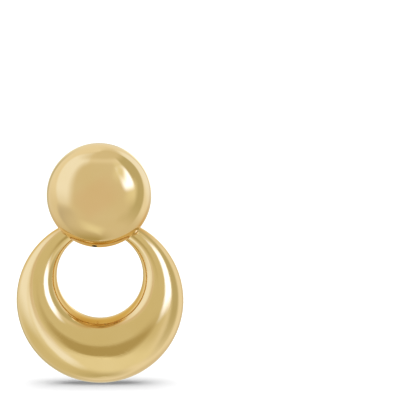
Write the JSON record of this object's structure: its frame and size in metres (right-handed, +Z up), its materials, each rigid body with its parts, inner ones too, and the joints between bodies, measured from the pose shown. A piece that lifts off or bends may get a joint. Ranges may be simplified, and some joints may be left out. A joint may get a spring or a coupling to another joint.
{
  "type": "doorknocker earring",
  "caption": "Drop earring of polished yellow gold: a hollow domed button on an ear post, and a hollow tapered hoop that swings on a hinge behind it.",
  "frame": {"origin": "centre of the post where it leaves the flat back of the button, which is where the earring pins on the earlobe", "axes": "+Z up, -Y out of the front of the button, +X to the right seen from the front"},
  "size_m": [0.0226, 0.0162, 0.0327],
  "materials": {
    "gold": "high polish, yellow gold"
  },
  "bodies": {
    "root": {"button": "gold", "ear_post": "gold"},
    "hoop_body": {"hoop": "gold"}
  },
  "joints": [
    {"name": "hoop_hinge", "type": "hinge", "parent": "root", "child": "hoop_body", "pos_m": [0, 0.0013, -0.00619], "axis": [1, 0, 0], "range_deg": [-12, 90]}
  ]
}
